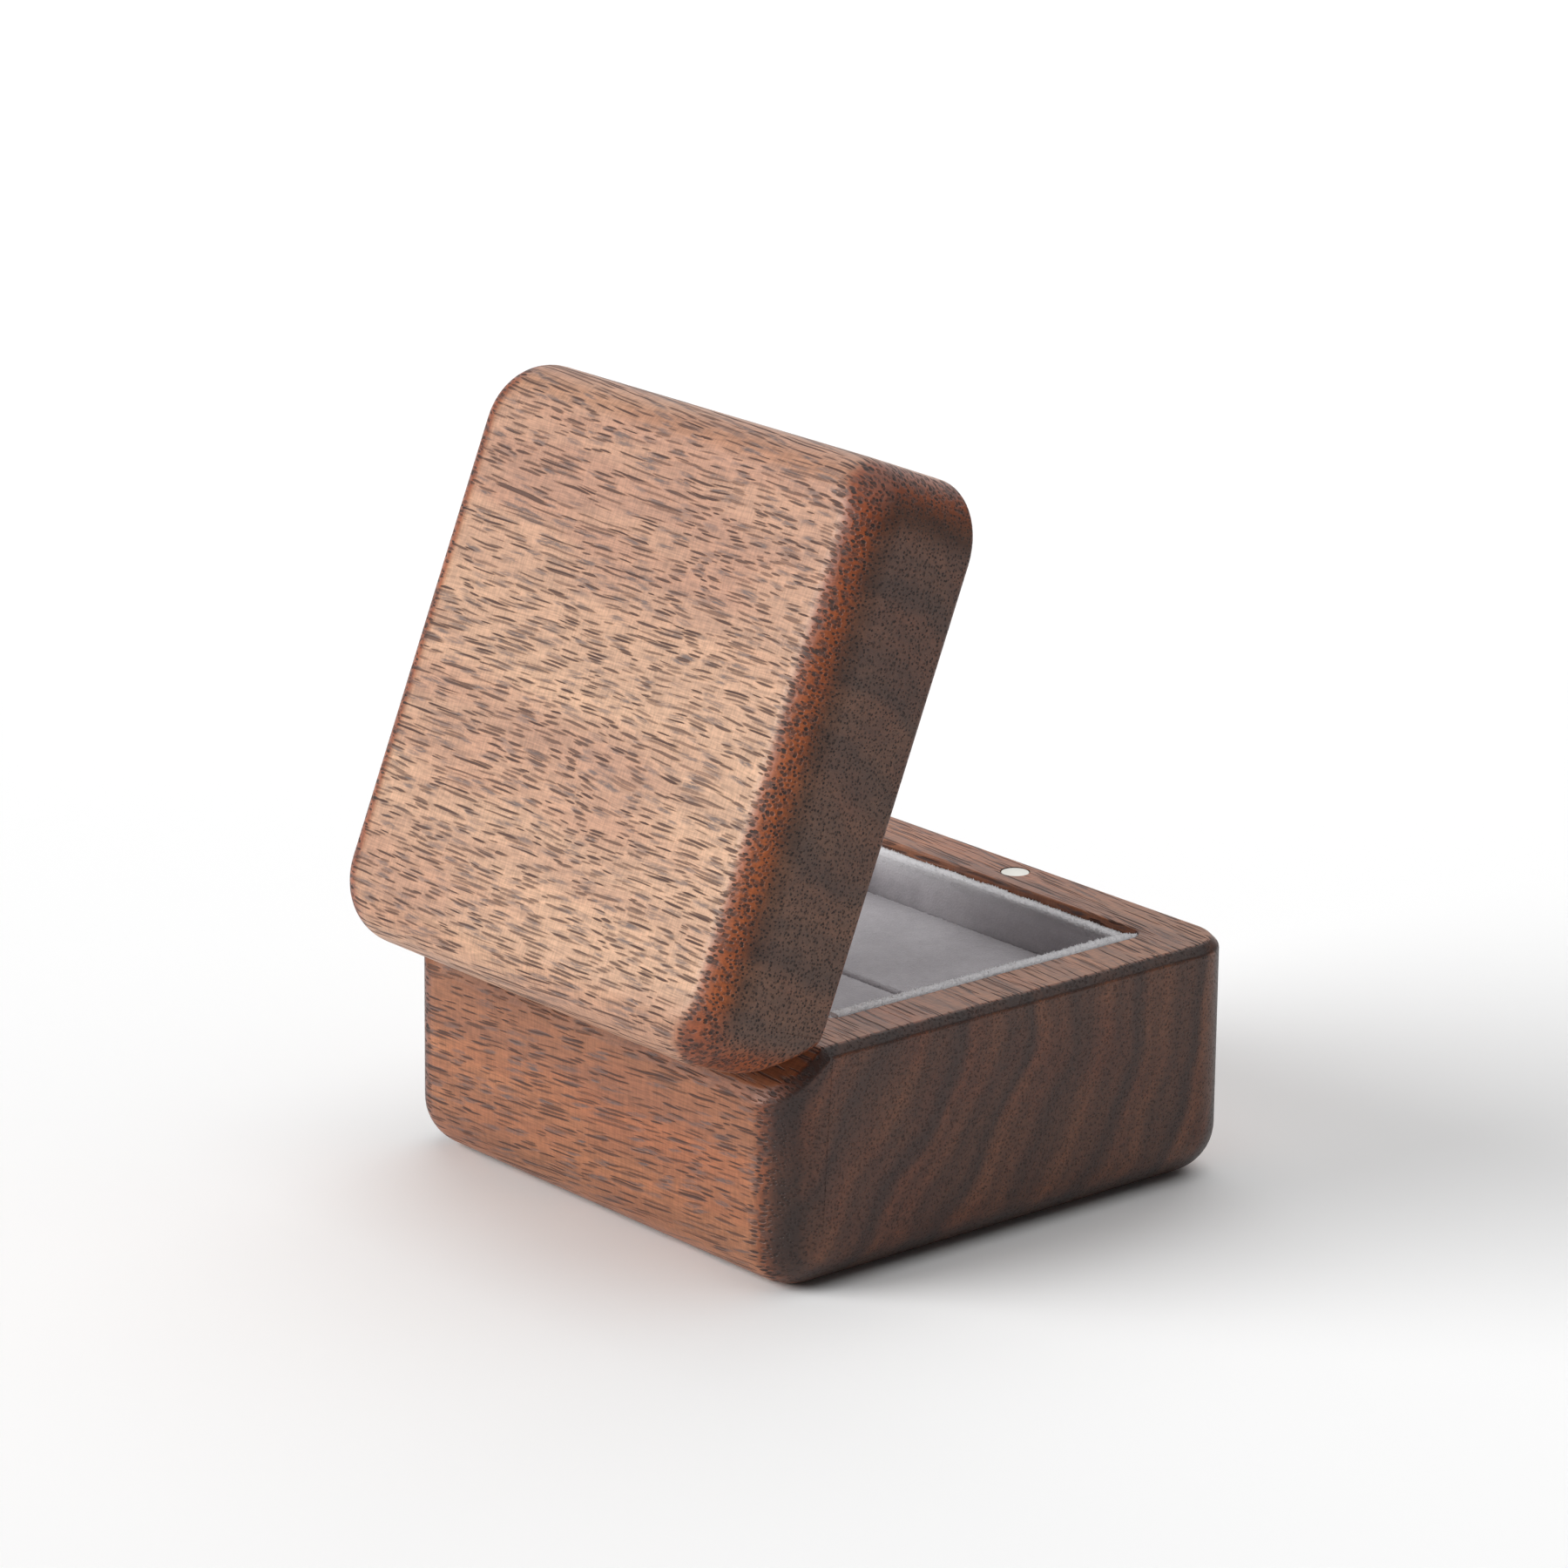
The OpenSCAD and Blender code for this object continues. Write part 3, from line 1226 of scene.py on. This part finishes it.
@dataclass
class WallLining:
    """Four velvet-covered strips round one hollow.

    The cross strips rise over end_length at each end, to meet the side strips.
    """

    sizes: BoxSizes
    body: Body
    low_z: float
    pad_z: float
    cross_z: float
    side_z: float
    edge_r: float = 0.6
    unevenness: float = 0.14
    swells_per_mm: float = 0.30
    sunk_share: float = 0.35
    end_overlap: float = 0.2
    end_length: float = 0.6
    end_lift: float = 0.7
    pile: Pile = Pile()

    def build(self, material: Material) -> list[Piece]:
        """Makes the four strips.

        Args:
            material: The velvet.

        Returns:
            The strips.
        """
        return [self._strip(wall, material) for wall in Wall]

    def _strip(self, wall: Wall, material: Material) -> Piece:
        """Makes one strip, with a rolled upper edge.

        Args:
            wall: The wall that the strip covers.
            material: The velvet.

        Returns:
            The strip.
        """
        low, high = self._corners(wall)
        bm = bmesh.new()
        box_at(bm, low, high)
        along = 0 if wall.runs_across else 1
        top = [e for e in bm.edges if at_height(e, high.z)]
        long_edges = [e for e in top if abs(e.verts[0].co[along] - e.verts[1].co[along]) > 1.0]
        round_over(bm, long_edges, self.edge_r, 4)
        self.pile.slice(bm, along, low[along], high[along])
        tall_z = high.z - 3 * self.edge_r
        self.pile.slice(bm, 2, self.pad_z, tall_z + self.pile.grid, 3.0)
        self.pile.slice(bm, 2, tall_z, high.z)
        if wall.runs_across:
            self._lift_ends(bm)
        self._make_uneven(bm, wall)
        self._keep_in_corner(bm)
        inward = self._inward(wall)
        above = [f for f in bm.faces if f.calc_center_median().z > self.pad_z]
        shown = [f for f in above if max(f.normal.dot(inward), f.normal.z) > 0.3]
        self.pile.grow(bm, shown, (tall_z, high.z), f"{self.body.value}_{wall.value}")
        name = f"{self.body.value}_velvet_{wall.value}"
        piece = finish_piece(bm, name, self.sizes.place(self.body), NEVER_SHARP)
        dress(piece, material)
        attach(piece, self.body.value)
        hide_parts(f"{self.body.value}_lining_{wall.value}")
        return piece

    def _corners(self, wall: Wall) -> tuple[Vector, Vector]:
        """Finds the room of a strip.

        Args:
            wall: The wall that the strip covers.

        Returns:
            The lowest and the highest corner.
        """
        sizes = self.sizes
        width, depth, middle = sizes.hollow
        well_w, well_d = sizes.well
        if wall.runs_across:
            outer = middle + wall.side * (depth / 2 - sizes.glue_gap)
            inner = outer - wall.side * sizes.lining_t
            reach = width / 2 - sizes.glue_gap
            return (
                Vector((-reach, min(outer, inner), self.low_z)),
                Vector((reach, max(outer, inner), self.cross_z)),
            )
        outer = wall.side * (width / 2 - sizes.glue_gap)
        inner = outer - wall.side * sizes.lining_t
        return (
            Vector((min(outer, inner), middle - well_d / 2, self.low_z)),
            Vector((max(outer, inner), middle + well_d / 2, self.side_z)),
        )

    @staticmethod
    def _inward(wall: Wall) -> Vector:
        """The way a strip faces."""
        return Vector((0, -wall.side, 0)) if wall.runs_across else Vector((-wall.side, 0, 0))

    def _make_uneven(self, bm: Mesh, wall: Wall) -> None:
        """Lets the velvet swell and sink a little over its card.

        Args:
            bm: The strip's mesh.
            wall: The wall that the strip covers.
        """
        inward = self._inward(wall)
        bm.normal_update()
        for vert in bm.verts:
            facing = max(0.0, vert.normal.dot(inward), vert.normal.z)
            swell = noise.noise(vert.co * self.swells_per_mm) - self.sunk_share
            vert.co += vert.normal * swell * self.unevenness * facing

    def _lift_ends(self, bm: Mesh) -> None:
        """Raises the ends of a cross strip to meet the side strips in the corners.

        Args:
            bm: The strip's mesh.
        """
        start = self.sizes.well[0] / 2 - self.end_overlap
        for vert in bm.verts:
            share = min(1.0, max(0.0, (abs(vert.co.x) - start) / self.end_length))
            if vert.co.z > self.cross_z - 2 * self.edge_r:
                vert.co.z += self.end_lift * (self.side_z - self.cross_z) * share

    def _keep_in_corner(self, bm: Mesh) -> None:
        """Draws the strip's ends in to the rounded corners of the hollow.

        Args:
            bm: The strip's mesh.
        """
        width, depth, middle = self.sizes.hollow
        radius = self.sizes.hollow_corner_r
        reach = radius - self.sizes.glue_gap
        for vert in bm.verts:
            past_x = abs(vert.co.x) - (width / 2 - radius)
            past_y = abs(vert.co.y - middle) - (depth / 2 - radius)
            if past_x > 0 and past_y > 0:
                shrink = min(1.0, reach / math.hypot(past_x, past_y))
                vert.co.x -= math.copysign(past_x * (1 - shrink), vert.co.x)
                vert.co.y -= math.copysign(past_y * (1 - shrink), vert.co.y - middle)


@dataclass
class Pad:
    """A foam pad wrapped in velvet, slightly crowned."""

    sizes: BoxSizes
    body: Body
    node: str
    name: str
    low: Vector
    high: Vector
    corner_r: float = 0.5
    edge_r: float = 0.55
    crown: float = 0.22
    unevenness: float = 0.05
    swells_per_mm: float = 0.2
    pile: Pile = Pile(grid=0.42, short=0.05, long=0.05, lean=0.05, tip_highlight_fade=0.5)

    def build(self, material: Material) -> Piece:
        """Makes the pad.

        Args:
            material: The velvet.

        Returns:
            The pad.
        """
        bm = bmesh.new()
        box_at(bm, self.low, self.high - Vector((0, 0, self.crown)))
        sides = [e for e in bm.edges if is_upright(e)]
        round_over(bm, sides, self.corner_r, 3)
        top_z = self.high.z - self.crown
        top = [e for e in bm.edges if at_height(e, top_z)]
        round_over(bm, top, self.edge_r, 5)
        for axis in (0, 1):
            self.pile.slice(bm, axis, self.low[axis], self.high[axis])
        self._crown(bm)
        bm.normal_update()
        flat = (self.high.z + 1.0, self.high.z + 2.0)
        self.pile.grow(bm, [f for f in bm.faces if f.normal.z > 0.3], flat, self.name)
        piece = finish_piece(bm, self.name, self.sizes.place(self.body), NEVER_SHARP)
        dress(piece, material)
        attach(piece, self.body.value)
        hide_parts(self.node)
        return piece

    def _crown(self, bm: Mesh) -> None:
        """Lifts the middle of the pad a little, and makes it uneven.

        Args:
            bm: The pad's mesh.
        """
        middle = (self.low + self.high) / 2
        half = (self.high - self.low) / 2
        bm.normal_update()
        for vert in bm.verts:
            if vert.normal.z < 0.2:
                continue
            share = 1.0
            for axis in (0, 1):
                share *= 1 - abs((vert.co[axis] - middle[axis]) / half[axis]) ** 4
            swell = noise.noise(vert.co * self.swells_per_mm) - 0.5
            vert.co.z += (self.crown + self.unevenness * swell) * share


# ------------------------------------------------------------------- metal pieces


@dataclass
class Magnet:
    """A small disc magnet set in a rim."""

    sizes: BoxSizes
    body: Body
    height: float
    edge_r: float = 0.12

    def build(self, material: Material) -> Piece:
        """Makes the disc, with its edge broken.

        Args:
            material: The plating.

        Returns:
            The magnet.
        """
        sizes = self.sizes
        bm = bmesh.new()
        middle = self.height - sizes.glue_gap - sizes.magnet_t / 2
        made = bmesh.ops.create_cone(
            bm,
            cap_ends=True,
            segments=ROUND_SEGMENTS,
            radius1=sizes.magnet_r,
            radius2=sizes.magnet_r,
            depth=sizes.magnet_t,
            matrix=Matrix.Translation((0, sizes.magnet_inset - sizes.side / 2, middle)),
        )
        rims = [e for e in edges_of(made["verts"]) if not is_upright(e)]
        round_over(bm, rims, self.edge_r, 3)
        name = f"{self.body.value}_magnet_disc"
        piece = finish_piece(bm, name, sizes.place(self.body))
        dress(piece, material)
        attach(piece, self.body.value)
        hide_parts(f"{self.body.value}_magnet")
        return piece


class Hinges:
    """The two barrel hinges and their pins, whose shapes are the frame's own."""

    def dress(self, finishes: Finishes) -> list[str]:
        """Finishes the hinge pieces.

        Args:
            finishes: The finishes.

        Returns:
            The names of the pieces.
        """
        done = []
        for name, piece in frame["nodes"].items():
            if name.startswith("hinge_"):
                dress(piece, finishes.steel if name.endswith("_pin") else finishes.brass)
                done.append(name)
        return done


# ------------------------------------------------------------------------- studio


@dataclass
class Studio:
    """Pale floor, soft lights and the camera."""

    eye: Vector = field(default_factory=lambda: Vector((-0.48206, 0.41700, 0.23580)))
    yaw: float = 130.52
    pitch: float = 17.12
    roll: float = 0.63
    lens: float = 153.04
    floor_size: float = 8.0
    room_light: float = 0.10

    def build(self) -> None:
        """Sets up everything round the box."""
        self._camera()
        self._floor()
        self._sun("key_light", toward=Vector((0.40, 0.79, 0.46)), spread=40.0, strength=2.70)
        self._sun("top_light", toward=Vector((-0.10, -0.25, 1.00)), spread=75.0, strength=1.36)
        self._panel("back_light", place=Vector((0.80, -0.75, 0.55)), size=1.3, power=5.0)
        self._surroundings()

    def _camera(self) -> None:
        """Makes the camera."""
        data = bpy.data.cameras.new("camera")
        data.lens = self.lens
        data.sensor_width = 36.0
        data.clip_start = 0.05
        data.clip_end = 50.0
        camera = bpy.data.objects.new("camera", data)
        bpy.context.scene.collection.objects.link(camera)
        yaw, pitch = math.radians(self.yaw), math.radians(self.pitch)
        flat = math.cos(pitch)
        ahead = Vector((math.sin(yaw) * flat, math.cos(yaw) * flat, -math.sin(pitch)))
        right = Vector((math.cos(yaw), -math.sin(yaw), 0.0))
        up = right.cross(ahead)
        turn = Matrix((right, up, -ahead)).transposed().to_4x4()
        rolled = turn @ Matrix.Rotation(math.radians(self.roll), 4, "Z")
        camera.matrix_world = Matrix.Translation(self.eye) @ rolled
        bpy.context.scene.camera = camera

    def _floor(self) -> None:
        """Makes the floor."""
        bm = bmesh.new()
        bmesh.ops.create_grid(bm, x_segments=4, y_segments=4, size=self.floor_size / 2)
        floor = finish_piece(bm, "floor", Matrix.Scale(1 / MM, 4))
        bench = NodeBench("pale_floor")
        bench.set(Base_Color=(0.96, 0.96, 0.96), Roughness=0.8, Specular_IOR_Level=0.1)
        dress(floor, bench.material)

    def _sun(self, name: str, toward: Vector, spread: float, strength: float) -> None:
        """Adds an even light from far off.

        Args:
            name: The light's name.
            toward: Direction from the box to the light.
            spread: Angle the light fills, in degrees, which softens its shadows.
            strength: Light that falls on a surface facing it.
        """
        data = bpy.data.lights.new(name, "SUN")
        data.angle = math.radians(spread)
        data.energy = strength
        light = bpy.data.objects.new(name, data)
        light.location = toward
        light.rotation_euler = toward.to_track_quat("Z", "Y").to_euler()
        bpy.context.scene.collection.objects.link(light)

    def _panel(self, name: str, place: Vector, size: float, power: float) -> None:
        """Adds a square panel of light that faces the box.

        Args:
            name: The light's name.
            place: Where it is, in metres.
            size: Its side, in metres.
            power: Its power in watts.
        """
        data = bpy.data.lights.new(name, "AREA")
        data.shape = "SQUARE"
        data.size = size
        data.energy = power
        light = bpy.data.objects.new(name, data)
        light.location = place
        light.rotation_euler = place.to_track_quat("Z", "Y").to_euler()
        bpy.context.scene.collection.objects.link(light)

    def _surroundings(self) -> None:
        """Sets the light of the room."""
        world = bpy.data.worlds.new("room")
        world.use_nodes = True
        background = world.node_tree.nodes["Background"]
        background.inputs["Color"].default_value = (1.0, 1.0, 1.0, 1.0)
        background.inputs["Strength"].default_value = self.room_light
        bpy.context.scene.world = world
        bpy.context.scene.view_settings.view_transform = "Standard"


# ---------------------------------------------------------------------------- all


def pads(sizes: BoxSizes) -> list[Pad]:
    """The three pads, each in the room its CAD solid holds.

    Args:
        sizes: The sizes of the box.

    Returns:
        The pads, not yet built.
    """
    made = []
    for node, name in (("pad_front", "ring_pad_front"), ("pad_rear", "ring_pad_rear")):
        low, high = (Vector(corner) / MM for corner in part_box(node))
        made.append(Pad(sizes, Body.BASE, node, name, low, high))
    well_w, well_d = sizes.well
    middle = sizes.hollow[2]
    reach = Vector((well_w / 2 - sizes.glue_gap, well_d / 2 - sizes.glue_gap, 0))
    low = Vector((-reach.x, middle - reach.y, sizes.lid_plate_t))
    high = Vector((reach.x, middle + reach.y, sizes.lid_plate_t + sizes.lid_pad_t))
    made.append(Pad(sizes, Body.LID, "lid_pad", "lid_velvet_pad", low, high))
    return made


def main() -> None:
    """Builds the box and its studio."""
    logging.basicConfig(level=logging.INFO, format="%(name)s: %(message)s")
    Studio().build()
    sizes = BoxSizes.from_frame()
    finishes = Finishes.make(sizes)

    base = WoodenHalf(
        sizes,
        Body.BASE,
        sizes.base_h,
        corner_r=5.5,
        edge_r=5.25,
        floor_t=4.0,
        bore_depth=12.1,
    )
    lid = WoodenHalf(
        sizes,
        Body.LID,
        sizes.lid_h,
        corner_r=7.0,
        edge_r=4.5,
        floor_t=sizes.lid_plate_t,
        bore_depth=9.1,
    )
    for half, material in ((base, finishes.base_wood), (lid, finishes.lid_wood)):
        LOG.info("%s", half.build(material).name)
        LOG.info("%s", Magnet(sizes, half.body, half.height).build(finishes.nickel).name)

    base_lining = WallLining(
        sizes,
        Body.BASE,
        low_z=5.0,
        pad_z=18.5,
        cross_z=sizes.base_h - 0.80,
        side_z=sizes.base_h + 0.08,
    )
    lid_top_z = sizes.lid_h - sizes.lining_drop
    lid_lining = WallLining(
        sizes,
        Body.LID,
        low_z=sizes.lid_plate_t,
        pad_z=5.0,
        cross_z=lid_top_z,
        side_z=lid_top_z,
    )
    for lining in (base_lining, lid_lining):
        LOG.info("%s", [strip.name for strip in lining.build(finishes.velvet)])
    for pad in pads(sizes):
        LOG.info("%s", pad.build(finishes.velvet).name)

    LOG.info("%s", Hinges().dress(finishes))
    dress(frame["nodes"]["pad_card"], finishes.card)


if __name__ == "__main__":
    main()
